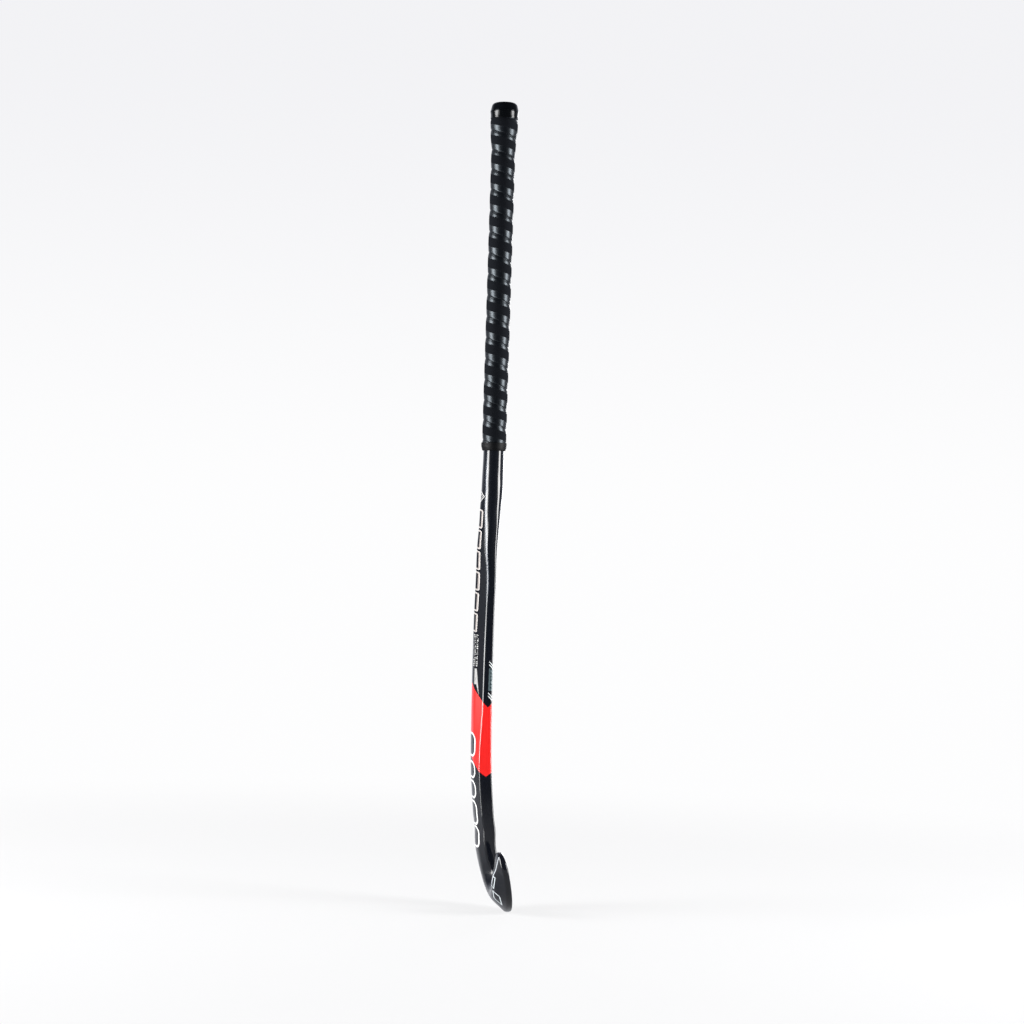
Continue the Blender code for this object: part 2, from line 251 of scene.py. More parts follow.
def eased(count):
    """Shares from just above 0 to 1, closer together towards both ends."""
    return [(1 - cos(pi * (i + 1) / count)) / 2 for i in range(count)]


def face_x(z):
    """How far the playing face stands in front of the handle's axis: a plane, then the bow."""
    if z <= FACE_PLANE_TOP:
        return FACE_AT_GROUND - FACE_SLOPE * z
    plane_top = FACE_AT_GROUND - FACE_SLOPE * FACE_PLANE_TOP
    first_z, first_x = FACE_LINE[0]
    if z >= first_z:
        return curve_through(FACE_LINE, z)
    span = first_z - FACE_PLANE_TOP
    t = (z - FACE_PLANE_TOP) / span
    lean = -FACE_SLOPE * span
    leave = (first_x - curve_through(FACE_LINE, first_z + 0.001)) / -0.001 * span
    start = (2 * t**3 - 3 * t**2 + 1) * plane_top + (t**3 - 2 * t**2 + t) * lean
    return start + (3 * t**2 - 2 * t**3) * first_x + (t**3 - t**2) * leave


def centreline(height):
    """A point (y, z) of the centreline and the unit direction (y, z) towards the outer side."""
    if height >= HOOK_CENTRE_Z:
        return (AXIS_Y, height), (1.0, 0.0)
    turned = min((HOOK_CENTRE_Z - height) / HOOK_RADIUS, HOOK_TURN)
    outward = (cos(turned), -sin(turned))
    y = HOOK_CENTRE_Y + HOOK_RADIUS * outward[0]
    z = HOOK_CENTRE_Z + HOOK_RADIUS * outward[1]
    past = (HOOK_CENTRE_Z - height) - HOOK_RADIUS * turned
    return (y - sin(turned) * past, z - cos(turned) * past), outward


def half_section(height, half, thick):
    """Half of the section: a list of (depth, out), from the middle of the face to the back's.

    Also where each point stands on the coarse scale of 0 to 12 that the handle's oval shares.
    """
    side = curve_through(SIDE_FACETS, height)
    crest = min(curve_through(CRESTS, height), half * 0.4)
    corner = min(FACE_CORNER, thick * 0.3)
    rise, run = thick - side, half - crest
    slant = hypot(rise, run)
    turn = acos(rise / slant)
    cut = curve_through(CREASE_RADII, height) * tan(turn / 2)
    cut = min(cut, 0.45 * (side - corner), 0.3 * slant)
    radius = cut / tan(turn / 2)
    points = [(0.0, 0.0)]
    places = [0.0]
    for t in eased(FACE_STEPS):
        points.append((0.0, (half - corner) * t))
        places.append(2 * t)
    for t in spread(1 / CORNER_STEPS, 1, CORNER_STEPS):
        angle = t * pi / 2
        points.append((corner * (1 - cos(angle)), half - corner + corner * sin(angle)))
        places.append(2 + 2 * t)
    for t in eased(SIDE_STEPS):
        points.append((corner + (side - cut - corner) * t, half))
        places.append(4 + 2 * t)
    for t in spread(1 / CREASE_STEPS, 1, CREASE_STEPS):
        angle = t * turn
        points.append((side - cut + radius * sin(angle), half - radius + radius * cos(angle)))
        places.append(6 + t)
    begin = cut / slant
    for t in eased(FACET_STEPS):
        part = begin + (FLAT_SHARE - begin) * t
        points.append((side + rise * part, half - run * part))
        places.append(7 + 2 * t)
    start = (side + rise * FLAT_SHARE, half - run * FLAT_SHARE)
    for t in spread(1 / CREST_STEPS, 1, CREST_STEPS):
        stay, pull = (1 - t) ** 2, 2 * t * (1 - t)
        depth = stay * start[0] + pull * thick + t * t * thick
        points.append((depth, stay * start[1] + pull * crest))
        places.append(9 + 3 * t)
    return points, places


def blended_half(height, inset=0.0):
    """The half section at a developed height, faceted low down and oval at the handle."""
    half = curve_through(WIDTHS, height) / 2
    thick = curve_through(THICKNESSES, height)
    share = curve_through(ROUNDNESS, height)
    flat, places = half_section(height, half, thick)
    keep_thick = 1 - 2 * inset / thick
    keep_wide = 1 - inset / half
    made = []
    for (depth, out), place in zip(flat, places):
        angle = pi * place / 12
        depth += (thick / 2 * (1 - cos(angle)) - depth) * share
        out += (half * sin(angle) - out) * share
        made.append((thick / 2 + (depth - thick / 2) * keep_thick, out * keep_wide))
    return made


def arc_marks(points):
    """Arc length of each point from the middle of the side facet, and from the crease."""
    lengths = [0.0]
    for a, b in zip(points, points[1:]):
        lengths.append(lengths[-1] + hypot(b[0] - a[0], b[1] - a[1]))
    middle = (lengths[SIDE_FIRST] + lengths[SIDE_LAST]) / 2
    crease = lengths[CREASE_MIDDLE]
    return [(length - middle, length - crease) for length in lengths]


class Skin:
    """Points, faces and the marks carried on each point, gathered before the mesh is made."""

    def __init__(self):
        self.points, self.faces, self.marks = [], [], []

    def add(self, point, mark):
        self.points.append(point)
        self.marks.append(mark)
        return len(self.points) - 1

    def bridge(self, lower, upper):
        count = len(lower)
        for i in range(count):
            j = (i + 1) % count
            self.faces.append((lower[i], lower[j], upper[j], upper[i]))

    def loft(self, rings, close_start=False, close_end=False):
        for lower, upper in zip(rings, rings[1:]):
            self.bridge(lower, upper)
        if close_start:
            self.faces.append(tuple(reversed(rings[0])))
        if close_end:
            self.faces.append(tuple(rings[-1]))

    def build(self, name, mark_names, sharp, material, replaced, slot):
        data = bpy.data.meshes.new(name)
        data.from_pydata(self.points, [], self.faces)
        for index, mark_name in enumerate(mark_names):
            layer = data.attributes.new(mark_name, "FLOAT", "POINT")
            layer.data.foreach_set("value", [mark[index] for mark in self.marks])
        work = bmesh.new()
        work.from_mesh(data)
        bmesh.ops.recalc_face_normals(work, faces=work.faces)
        work.to_mesh(data)
        work.free()
        data.shade_smooth()
        data.set_sharp_from_angle(angle=radians(sharp))
        data.materials.append(material)
        made = bpy.data.objects.new(name, data)
        bpy.context.scene.collection.objects.link(made)
        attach(made, "root")
        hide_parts(replaced)
        return made


def shell_ring(skin, height, inset=0.0):
    """A closed ring of the moulding's skin at a developed height."""
    (y, z), (out_y, out_z) = centreline(height)
    half = blended_half(height, inset)
    arcs = arc_marks(half)
    whole = [(p[0], p[1], a) for p, a in zip(half, arcs)]
    whole += [(p[0], -p[1], a) for p, a in list(zip(half, arcs))[-2:0:-1]]
    ring = []
    for depth, out, (girth, crease) in whole:
        point_z = z + out_z * out
        point = (AXIS_X + face_x(point_z) - depth, y + out_y * out, point_z)
        ring.append(skin.add(point, (height, out, girth, crease)))
    return ring


def toe_fan(skin, first_ring):
    """The toe's rounded end: half sections fanned about the end of the centreline."""
    (y, z), (out_y, out_z) = centreline(TOE_CENTRE)
    along_y, along_z = -sin(HOOK_TURN), -cos(HOOK_TURN)
    wide = curve_through(WIDTHS, TOE_CENTRE) / 2
    thick = curve_through(THICKNESSES, TOE_CENTRE)
    step = 0.001
    taper = (curve_through(THICKNESSES, TOE_CENTRE + step) - thick) / step
    last = len(first_ring) // 2
    fans = [first_ring[: last + 1]]
    for k in range(1, TOE_FANS):
        t = pi / 2 - pi * k / TOE_FANS
        edge_along, edge_out = TOE_ROUND * cos(t), wide * sin(t)
        half = hypot(edge_along, edge_out)
        ray_along, ray_out = edge_along / half, edge_out / half
        height = TOE_CENTRE - edge_along
        side = curve_through(SIDE_FACETS, height)
        points, _ = half_section(height, half, thick)
        arcs = arc_marks(points)
        row = [first_ring[0]]
        for (depth, out), (girth, crease) in list(zip(points, arcs))[1:-1]:
            # The face falls back towards the tip, and the back keeps to the head's taper
            forward = out * ray_along
            drop = TOE_DROP * (forward / TOE_ROUND) ** 3 * max(0.0, 1 - depth / side)
            lean = taper * forward * (1 - out / half) ** 2 * (depth / thick) ** 2
            point_z = z + along_z * forward + out_z * out * ray_out
            point_y = y + along_y * forward + out_y * out * ray_out
            point = (AXIS_X + face_x(point_z) - depth - drop + lean, point_y, point_z)
            mark = (TOE_CENTRE - forward, out * ray_out, girth, crease)
            row.append(skin.add(point, mark))
        row.append(first_ring[last])
        fans.append(row)
    fans.append([first_ring[0]] + first_ring[:last - 1 : -1])
    for one, other in zip(fans, fans[1:]):
        for i in range(last):
            corners = [one[i], one[i + 1], other[i + 1], other[i]]
            if i == 0:
                corners = [one[0], one[1], other[1]]
            elif i == last - 1:
                corners = [one[i], one[last], other[i]]
            skin.faces.append(tuple(corners))


def build_shell(material):
    """The moulding with its rounded edges, its crease and its rounded toe."""
    skin = Skin()
    # Rings stand close together round the hook, wider apart up the shaft and widest in the grip
    heights = spread(TOE_CENTRE, 0.080, 84) + spread(0.083, 0.545, 150)
    heights += spread(0.560, SHELL_TOP, 24)
    outer = [shell_ring(skin, height) for height in heights]
    skin.loft(outer)
    toe_fan(skin, outer[0])
    inside = spread(CAVITY_END, 0.100, 40) + spread(0.108, SHELL_TOP, 70)
    stations = [(0.060, WALL_HEAD), (0.160, WALL)]
    inner = [shell_ring(skin, height, curve_through(stations, height)) for height in inside]
    skin.loft(inner, close_start=True)
    skin.bridge(outer[-1], inner[-1])
    marks = ("along", "across", "girth", "crease")
    return skin.build("stick_body", marks, 60, material, "stick_shell", "lacquered_composite")


def handle_point(angle, z, offset):
    """A point of the handle's oval at an angle and height, grown outward by an offset."""
    across = HANDLE_THICK / 2 + offset
    along = HANDLE_WIDE / 2 + offset
    return (AXIS_X + across * cos(angle), AXIS_Y + along * sin(angle), z)


def build_sleeve(name, profile, ripple, material, replaced, slot):
    """A turned ring round the handle from a closed profile of (height, offset, ripple share)."""
    skin = Skin()
    rings = []
    for z, offset, share in profile:
        ring = []
        for i in range(TAPE_STEPS):
            angle = 2 * pi * i / TAPE_STEPS
            lift = ripple(angle, z) * share
            ring.append(skin.add(handle_point(angle, z, offset + lift), (z,)))
        rings.append(ring)
    skin.loft(rings)
    skin.bridge(rings[-1], rings[0])
    return skin.build(name, ("level",), 50, material, replaced, slot)


def strip_edges():
    """The strip's upper edge height for each step of the winding, from the pitch stations."""
    turn, height = 0.0, PITCH_ANCHOR[1]
    count = 400  # steps back up from the anchor to the start of the winding
    back = PITCH_ANCHOR[0] / count
    for i in range(count):
        height += curve_through(PITCHES, back * (i + 0.5)) * back
    edges = [height]
    step = 1 / GRIP_STEPS
    below = GRIP_BOTTOM - 0.03  # more than a turn past the lower end
    while edges[-1] > below:
        edges.append(edges[-1] - curve_through(PITCHES, turn + step / 2) * step)
        turn += step
    return edges


def grip_bed(z):
    """Offset of the surface the grip is wound on: the bare handle, then the flare."""
    return curve_through([(FLARE_START, 0.0), (FLARE_END, GAP + FLARE)], z) + GAP


def build_grip(material):
    """The cushioned strip: a matte raised lane between two smooth edges that slope away."""
    edges = strip_edges()
    # Where the points stand across the strip, closest at its edges and at the matte lane's borders
    lanes = [0.0, 0.005, 0.010, 0.017, 0.025, 0.038, 0.055, 0.09, 0.13, 0.18, 0.23, 0.28, 0.305]
    lanes += [0.315, 0.325, 0.335, 0.35, 0.40, 0.47, 0.545, 0.62, 0.69, 0.735, 0.755, 0.765]
    lanes += [0.775, 0.79, 0.82, 0.85, 0.88, 0.90, 0.92, 0.94, 0.96, 0.98, 0.99, 1.0]
    base = spread(1.0, 0.0, 8)[1:-1]
    skin = Skin()
    rings = []
    for step in range(len(edges) - GRIP_STEPS):
        top, bottom = edges[step], edges[step + GRIP_STEPS] + TURN_GAP
        low, high = max(bottom, GRIP_BOTTOM), min(top, GRIP_TOP)
        if high - low < STRIP_LEAST:
            continue
        angle = 2 * pi * step / GRIP_STEPS
        ring = []
        for lane in lanes:
            z = low + (high - low) * lane
            place = (z - bottom) / (top - bottom)
            build = straight_through(STRIP_PROFILE, place)
            pressed = curve_through([(BAND_LOW - 0.004, 0.0), (BAND_LOW, STRIP_PRESSED)], z)
            build = max(build - pressed, STRIP_THINNEST)
            # Uneven as wound by hand: broad waves and a fine ripple
            spot = Vector(handle_point(angle, z, 0.0))
            build += 0.00008 * noise.noise(spot * 60) + 0.000006 * noise.noise(spot * 300)
            if z <= low or z >= high:
                build = min(build, STRIP_CUT)
            point = handle_point(angle, z, grip_bed(z) + build)
            ring.append(skin.add(point, (place,)))
        for lane in [1.0] + base + [0.0]:
            z = low + (high - low) * lane
            place = (z - bottom) / (top - bottom)
            point = handle_point(angle, z, grip_bed(z))
            ring.append(skin.add(point, (place,)))
        rings.append(ring)
    skin.loft(rings, close_start=True, close_end=True)
    return skin.build("grip_wrap", ("lane",), 50, material, "grip_tape", "grip_cushion")


def build_cap(material):
    """The glossy cap: a shallow dome, a rounded shoulder, a fine bead at its foot and a skirt."""
    lining = FLARE + 2 * GAP
    outer = lining + CAP_WALL
    skirt = lining + CAP_SKIRT
    foot = BAND_HIGH + GAP
    ceiling = SHELL_TOP + CAP_ROOM
    profile = [(ceiling, -0.0100), (ceiling, lining), (CAP_BOTTOM, lining)]
    profile += [(CAP_BOTTOM, skirt), (foot, skirt)]
    # The bead
    profile += [(foot, outer - 0.0002), (foot + 0.0002, outer + 0.00018)]
    profile += [(foot + 0.0005, outer + 0.00030), (foot + 0.0008, outer + 0.00018)]
    # The leaning wall and the rounded shoulder
    wall_foot = foot + 0.0010
    round_z = CAP_TOP - CAP_CROWN - CAP_ROUND
    start_z = round_z + CAP_ROUND * sin(CAP_LEAN)
    wall_lean = (start_z - wall_foot) * tan(CAP_LEAN)
    round_offset = outer - wall_lean - CAP_ROUND * cos(CAP_LEAN)
    for z in spread(wall_foot, start_z, 10)[:-1]:
        profile.append((z, outer - (z - wall_foot) * tan(CAP_LEAN)))
    for angle in spread(CAP_LEAN, radians(86), 24):
        profile.append((round_z + CAP_ROUND * sin(angle), round_offset + CAP_ROUND * cos(angle)))
    # The dome, in to a tiny flat in its middle
    edge = profile[-1]
    for t in spread(0.1, 1.0, 10):
        reach = HANDLE_THICK / 2 + edge[1]
        rise = (CAP_TOP - edge[0]) * (1 - (1 - t) ** 2)
        profile.append((edge[0] + rise, edge[1] - (reach - 0.0004) * t))
    skin = Skin()
    rings = []
    for z, offset in profile:
        ring = []
        for i in range(CAP_STEPS):
            angle = 2 * pi * i / CAP_STEPS
            ring.append(skin.add(handle_point(angle, z, offset), (z,)))
        rings.append(ring)
    skin.loft(rings, close_start=True, close_end=True)
    return skin.build("butt_cap_dome", ("level",), 45, material, "butt_cap", "cap_gloss")


def band_ripple(angle, z):
    """Small waves of stretched tape, with a pucker where the tape's end was pressed down."""
    spot = Vector((cos(angle) * 2.2, sin(angle) * 2.2, z * 260))
    pucker = max(0.0, cos(angle - radians(185))) ** 10
    return 0.00012 * noise.noise(spot) + 0.00040 * pucker * max(0.0, (z - BAND_LOW) / 0.008) ** 3


def build_upper_band(material):
    """The glossy finishing tape between the grip and the cap."""
    inner = FLARE + 2 * GAP + CAP_SKIRT + GAP
    outer = inner + BAND_BUILD
    low, high = BAND_LOW, BAND_HIGH
    profile = [(low, inner, 0.0), (low, outer - 0.00015, 0.4), (low + 0.0002, outer, 0.7)]
    for z in spread(low + 0.0006, high - 0.0006, 14):
        profile.append((z, outer - 0.0002 * sin(pi * (z - low) / (high - low)), 1.0))
    profile += [(high - 0.0002, outer + 0.00008, 1.0), (high, outer - 0.0001, 0.6)]
    profile.append((high, inner, 0.0))
    parts = ("upper_finishing_tape", "finishing_tape")
    return build_sleeve("upper_band", profile, band_ripple, material, *parts)


def seal_ripple(angle, z):
    """Creases of stretched tape that run round the handle at a slant."""
    spot = Vector((cos(angle) * 1.6, sin(angle) * 1.6, z * 420 + angle * 0.6))
    return 0.00018 * noise.noise(spot) + 0.00007 * noise.noise(spot * 3.1)


def build_lower_seal(material):
    """The finishing tape that closes the grip's lower end and steps down to the bare shaft."""
    step = GRIP_BOTTOM - GAP
    on_grip = 2 * GAP + SEAL_ROOM
    low, high = SEAL_LOW, SEAL_HIGH
    # The outside as (height, offset), from the bare shaft up over the end of the grip
    outside = [(low, GAP + 0.00050), (low + 0.0003, GAP + 0.00095)]
    outside += [(low + 0.0010, GAP + 0.00135), (low + 0.0024, GAP + 0.00175)]
    outside += [(low + 0.0042, on_grip), (low + 0.0062, on_grip + 0.00016)]
    outside += [(high - 0.0012, on_grip + 0.00022), (high, on_grip + 0.00016)]
    top = high - 0.0001
    profile = [(low, GAP, 0.0)]
    for z in spread(low, top, 30):
        share = min(1.0, (z - low) / 0.001, (top - z) / 0.0006 + 0.3)
        profile.append((z, curve_through(outside, z), share))
    profile += [(high, on_grip + 0.00014, 0.2), (high, on_grip, 0.0), (step, on_grip, 0.0)]
    profile.append((step - 0.0013, GAP, 0.0))
    parts = ("lower_finishing_tape", "finishing_tape")
    return build_sleeve("lower_seal", profile, seal_ripple, material, *parts)


class Value:
    """A number in a node tree that plain arithmetic turns into Math nodes."""

    def __init__(self, tree, socket):
        self.tree, self.socket = tree, socket

    def calc(self, operation, *others):
        node = self.tree.nodes.new("ShaderNodeMath")
        node.operation = operation
        for slot, other in enumerate((self,) + others):
            feed(self.tree, other, node.inputs[slot])
        return Value(self.tree, node.outputs[0])

    def __add__(self, other):
        return self.calc("ADD", other)

    def __sub__(self, other):
        return self.calc("SUBTRACT", other)

    def __mul__(self, other):
        return self.calc("MULTIPLY", other)

    def __truediv__(self, other):
        return self.calc("DIVIDE", other)

    def __abs__(self):
        return self.calc("ABSOLUTE")

    def above(self, edge, soft=0.00012):
        """1 above an edge and 0 below it, with a soft border."""
        node = self.tree.nodes.new("ShaderNodeMapRange")
        node.interpolation_type = "SMOOTHSTEP"
        feed(self.tree, self, node.inputs["Value"])
        low = edge - soft
        high = edge + soft
        feed(self.tree, low, node.inputs["From Min"])
        feed(self.tree, high, node.inputs["From Max"])
        return Value(self.tree, node.outputs[0])

    def below(self, edge, soft=0.00012):
        return (self.above(edge, soft) * -1.0) + 1.0

    def within(self, low, high, soft=0.00012):
        return self.above(low, soft) * self.below(high, soft)


def feed(tree, value, socket):
    """Links a value or a socket, or sets a plain number or colour."""
    if isinstance(value, Value):
        tree.links.new(value.socket, socket)
    elif isinstance(value, bpy.types.NodeSocket):
        tree.links.new(value, socket)
    elif isinstance(value, tuple) and len(value) == 3 and socket.type == "RGBA":
        socket.default_value = (*value, 1.0)
    else:
        socket.default_value = value


def mesh_mark(tree, name):
    """A mark carried on the mesh, as a value."""
    node = tree.nodes.new("ShaderNodeAttribute")
    node.attribute_name = name
    return Value(tree, node.outputs["Fac"])


def object_point(tree):
    """The shaded point, in the object's own frame."""
    return tree.nodes.new("ShaderNodeTexCoord").outputs["Object"]


def noise_value(tree, scale, detail=2.0, stretch=None):
    """Noise of 0 to 1 in the object's frame, stretched if asked."""
    vector = object_point(tree)
    if stretch:
        mapping = tree.nodes.new("ShaderNodeMapping")
        mapping.inputs["Scale"].default_value = stretch
        tree.links.new(vector, mapping.inputs["Vector"])
        vector = mapping.outputs[0]
    node = tree.nodes.new("ShaderNodeTexNoise")
    node.inputs["Scale"].default_value = scale
    node.inputs["Detail"].default_value = detail
    tree.links.new(vector, node.inputs["Vector"])
    return Value(tree, node.outputs["Fac"])


def mixed(tree, share, base, top):
    """A colour: base where the share is 0, top where it is 1."""
    node = tree.nodes.new("ShaderNodeMix")
    node.data_type = "RGBA"
    feed(tree, share, node.inputs["Factor"])
    feed(tree, base, node.inputs["A"])
    feed(tree, top, node.inputs["B"])
    return node.outputs["Result"]


def ramp(share, low, high):
    """A number that runs from low to high with the share."""
    return share * (high - low) + low


def bumped(tree, height, strength, distance):
    """A normal pushed about by a height of 0 to 1."""
    node = tree.nodes.new("ShaderNodeBump")
    node.inputs["Strength"].default_value = strength
    node.inputs["Distance"].default_value = distance
    feed(tree, height, node.inputs["Height"])
    return node.outputs[0]


def principled(material, **inputs):
    """Feeds the inputs of a material's Principled shader, named with _ for each space."""
    tree = material.node_tree
    node = tree.nodes["Principled BSDF"]
    for name, value in inputs.items():
        feed(tree, value, node.inputs[name.replace("_", " ")])
    return material


def new_material(name):
    """A new material and its node tree."""
    material = bpy.data.materials.new(name)
    material.use_nodes = True
    return material, material.node_tree


def rounded_block(across, along, half_wide, half_long, corner):
    """Signed distance to a rounded block: below 0 inside it."""
    x = abs(across) - (half_wide - corner)
    y = abs(along) - (half_long - corner)
    past_x, past_y = x.calc("MAXIMUM", 0.0), y.calc("MAXIMUM", 0.0)
    within = x.calc("MAXIMUM", y).calc("MINIMUM", 0.0)
    return (past_x * past_x + past_y * past_y).calc("SQRT") + within - corner


# The lacquer's print. Places are in metres: "along" is the developed height, "across" the distance
# from the middle of the face, "girth" the distance round the section from the middle of a side, and
# "crease" the distance round it from the crease, positive towards the back.
BLACK_DARK = (0.0019, 0.0025, 0.0043)
BLACK_LIGHT = (0.0060, 0.0078, 0.0132)
RED = (0.86, 0.0105, 0.0080)
RED_FOOT, RED_FOOT_SLOPE = 0.1521, 0.75  # the band's ends point down, at the middle of each side
RED_HEAD, RED_HEAD_SLOPE = 0.2316, 0.90
# Halftone print beside the crease; its grey dot pattern, graded towards the crease, also paints the
# soft edge of the highlight there
DOT_CELL = 0.00115
DOT_RADIUS = 0.00068
DOT_LENGTH = (0.350, 0.524)
DOT_AND_SHEEN_GREY = (0.20, 0.22, 0.26)
DULL_LENGTH = (0.325, 0.475)
# The outlined blocks on the lower back, as (height of the middle, half the length)
LOW_BLOCKS = [
    (0.1880, 0.0138),
    (0.1592, 0.0098),
    (0.1366, 0.0104),
    (0.1098, 0.0140),
    (0.0822, 0.0124),
]
LOW_HALF_WIDE = 0.0134
LOW_CORNER = 0.0085
LOW_STROKE = 0.0022
LOW_WHITE = (0.86, 0.86, 0.85)
# The column of equal outlined blocks above the red band
HIGH_FOOT = 0.3165
HIGH_CELL = 0.0238
HIGH_COUNT = 6
HIGH_SKEW = 0.15
HIGH_SQUEEZE = 0.55  # distances across count for this much, so the upright strokes are wider
HIGH_BLOCK = (0.0050, 0.0106, 0.0018)  # half the width, half the length, corner
HIGH_STROKE = 0.0017
HIGH_RIM = 0.0004
SILVER_DARK, SILVER_LIGHT = (0.22, 0.20, 0.19), (0.42, 0.38, 0.36)
SILVER_RIM = (0.66, 0.63, 0.61)
# The diamond rings above the column, and the ticks and strokes below it
DIAMOND_HEIGHT = 0.4725
DIAMOND_RINGS = [(0.0056, 0.0068), (0.0028, 0.0036)]
TICK_PITCH = 0.0022
TICK_LENGTH = (0.2775, 0.3140)
TICK_ROWS = [(0.0030, 0.0049), (0.0065, 0.0084), (0.0100, 0.0119)]
STROKE_LENGTH = (0.2570, 0.2750)
STROKE_WIDE = (0.0076, 0.0158)
STROKE_BEND = 0.0112
PALE = (0.60, 0.59, 0.58)
# On each side: a bar with dark nicks between two pairs of slashes
SIDE_BAND = (-0.0046, 0.0003)
BAR_LENGTH = (0.2505, 0.2765)
NICK_PITCH = 0.0042
NICK_GIRTH = -0.0022
NICK_REACH = 0.0011  # from a nick's middle to its points
HATCH_PITCH = 0.0014
TEAL_DARK, TEAL_LIGHT = (0.045, 0.066, 0.074), (0.120, 0.165, 0.175)
NICK_DARK = (0.012, 0.018, 0.022)
SLASH_SLOPE = 1.05
SLASHES = [(0.2795, 0.2809), (0.2829, 0.2843), (0.2437, 0.2451), (0.2471, 0.2485)]
SLASH_CLEARINGS = [(0.2783, 0.2852), (0.2425, 0.2497)]
SLASH_WHITE = (0.82, 0.86, 0.86)
# On the toe's back: a slanted block, a narrower one above it and a painted highlight, a thin pale
# line up the toe
TOE_BLOCK = (0.0048, 0.0060, 0.0018)
TOE_BLOCK_AT = (0.0088, -0.0206)
NARROW_BLOCK = (0.0028, 0.0072, 0.0008)
NARROW_BLOCK_AT = (0.0030, -0.0374)
TOE_HIGHLIGHT_FOOT = -0.0362
TOE_HIGHLIGHT_SLOPE = 0.190
TOE_HIGHLIGHT_LENGTH = (-0.0740, -0.0290)
TOE_PALE = (0.70, 0.76, 0.78)
TOE_PAINTED_HIGHLIGHT = (0.50, 0.53, 0.56)


def summed(values):
    """The sum of a list of node values."""
    total = values[0]
    for value in values[1:]:
        total = total + value
    return total


def cell_place(value, pitch):
    """Where a value lies in its repeat, as a distance from the middle of the cell."""
    return ((value / pitch).calc("FRACT") - 0.5) * pitch


def black_laminate(tree, along, across, cloud):
    """A faint twill and a cloudy tone under the lacquer."""
    twill = ((along + across) * 2600.0).calc("SINE") * ((along - across) * 1300.0).calc("SINE")
    tone = ramp(twill, 0.0, 0.10) + ramp(cloud, 0.30, 0.62)
    return mixed(tree, tone, BLACK_DARK, BLACK_LIGHT)


def halftone_and_sheen(along, across, crease):
    """Halftone print dot pattern beside the crease, graded towards it so that it also paints the
    soft edge of the highlight there, and where the lacquer behind it is dulled.
    """
    dot_x = cell_place(across + along, DOT_CELL)
    dot_y = cell_place(across - along, DOT_CELL)
    dot = (dot_x * dot_x + dot_y * dot_y).calc("SQRT")
    from_edge = crease - (along.above(0.440, 0.055) * 0.0078 + 0.0002)
    reach = from_edge.below(0.0034, 0.0032) * from_edge.above(0.0, 0.0002)
    size = reach * along.within(*DOT_LENGTH, 0.022) * DOT_RADIUS
    dots_and_sheen = (size - dot).above(0.00010, 0.00008)
    dulled = from_edge.above(0.0019, 0.0012) * along.within(*DULL_LENGTH, 0.025)
    return dots_and_sheen, dulled


def print_low_blocks(tree, colour, black, along, wide, crease):
    """White rounded outlines of unlike lengths up the lower back, black inside."""
    back = crease.above(0.0035, 0.0003)
    for middle, half_long in LOW_BLOCKS:
        place_y = along + wide * 0.12 - middle
        block = rounded_block(wide, place_y, LOW_HALF_WIDE, half_long, LOW_CORNER)
        colour = mixed(tree, block.below(0.0) * back, colour, black)
        colour = mixed(tree, block.within(-LOW_STROKE, 0.0) * back, colour, LOW_WHITE)
    return colour


def print_high_column(tree, colour, along, wide, silver):
    """A column of equal silver outlines with a pale rim, up the middle of the shaft."""
    risen = along + wide * HIGH_SKEW - HIGH_FOOT
    inside = risen.within(0.0, HIGH_CELL * HIGH_COUNT, 0.0002)
    block = rounded_block(wide * HIGH_SQUEEZE, cell_place(risen, HIGH_CELL), *HIGH_BLOCK)
    ring = block.within(-HIGH_STROKE, 0.0) * inside
    rim = block.within(-HIGH_RIM, 0.0) * inside
    colour = mixed(tree, ring, colour, mixed(tree, silver, SILVER_DARK, SILVER_LIGHT))
    return mixed(tree, rim, colour, SILVER_RIM)


def print_small_marks(tree, colour, along, wide, silver):
    """Two diamond rings above the column; rows of broken ticks and curved strokes below it."""
    diamond = wide * 0.70 + abs(along - DIAMOND_HEIGHT) * 1.05
    rings = summed([diamond.within(*ring) for ring in DIAMOND_RINGS])
    tick = (along / TICK_PITCH).calc("FRACT").within(0.20, 0.78, 0.08)
    rows = summed([wide.within(*row) for row in TICK_ROWS])
    ticks = tick * rows * along.within(*TICK_LENGTH, 0.0002)
    ticks = ticks * noise_value(tree, 520.0, 0.0).above(0.46, 0.03)
    past = (wide - STROKE_BEND).calc("MAXIMUM", 0.0)
    low, high = STROKE_LENGTH
    stroke = (along + past * 2.9).above(low, 0.0002) * (along + past * 7.1).below(high, 0.0004)
    stroke = stroke * wide.within(*STROKE_WIDE, 0.0003) * silver.above(0.30, 0.25) * 0.7
    return mixed(tree, (rings + ticks + stroke).calc("MINIMUM", 1.0), colour, PALE)


def print_side_marks(tree, colour, black, along):
    """A teal-grey bar with a row of dark nicks, between pairs of white slashes, on each side."""
    girth = mesh_mark(tree, "girth")
    facet = girth.within(*SIDE_BAND)
    nick_along = abs((along / NICK_PITCH).calc("FRACT") - 0.5) * NICK_PITCH
    nick = (nick_along + abs(girth - NICK_GIRTH)).below(NICK_REACH)
    hatch = (((along - girth) / HATCH_PITCH).calc("FRACT") - 0.5).above(-0.10, 0.20)
    bar = mixed(tree, nick, mixed(tree, hatch, TEAL_DARK, TEAL_LIGHT), NICK_DARK)
    colour = mixed(tree, along.within(*BAR_LENGTH, 0.0002) * facet, colour, bar)
    slope = along - girth * SLASH_SLOPE
    clear = summed([slope.within(*clearing) for clearing in SLASH_CLEARINGS])
    slashes = summed([slope.within(*slash) for slash in SLASHES])
    colour = mixed(tree, clear * facet, colour, black)
    return mixed(tree, slashes * facet, colour, SLASH_WHITE)


